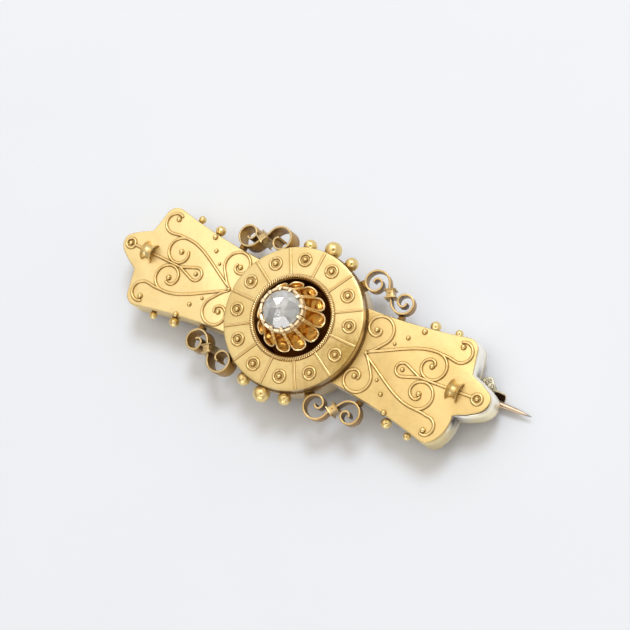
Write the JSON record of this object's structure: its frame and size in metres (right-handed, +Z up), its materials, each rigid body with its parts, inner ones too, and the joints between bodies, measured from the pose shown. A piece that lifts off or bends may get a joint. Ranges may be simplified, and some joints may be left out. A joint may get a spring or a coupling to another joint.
{
  "type": "bar brooch",
  "caption": "Gold bar brooch: raised round centre with one stone on a fluted calyx, flared filigree wings, side scrolls, and a hinged pin with an open hook.",
  "frame": {"origin": "middle of the outline's box seen from above, on the surface that the brooch lies on", "axes": "+X along the bar from the hinge to the catch, +Y across the bar, +Z up through the stone"},
  "size_m": [0.0494, 0.019, 0.0111],
  "materials": {
    "face_gold": "matt bloomed yellow gold",
    "wall_gold": "paler, slightly tarnished gold",
    "dark_gold": "dark tarnished gold",
    "polished_gold": "polished deep yellow gold",
    "pin_gold": "smooth rosy gold",
    "diamond": "clear cut stone"
  },
  "bodies": {
    "brooch": {"back_plate": "wall_gold", "left_wing": "face_gold", "right_wing": "face_gold", "drum": "face_gold", "well": "dark_gold", "disc": "face_gold", "calyx": "polished_gold", "collet": "face_gold", "diamond": "diamond", "upper_left_scroll": "face_gold", "upper_right_scroll": "face_gold", "lower_left_scroll": "face_gold", "lower_right_scroll": "face_gold", "hinge": "wall_gold", "hinge_rivet": "wall_gold", "catch": "wall_gold"},
    "pin": {"pin": "pin_gold"}
  },
  "joints": [
    {"name": "pin_swing", "type": "hinge", "parent": "brooch", "child": "pin", "pos_m": [-0.0192, -0.001, 0.00076], "axis": [0, 1, 0], "range_deg": [0, 100]}
  ]
}
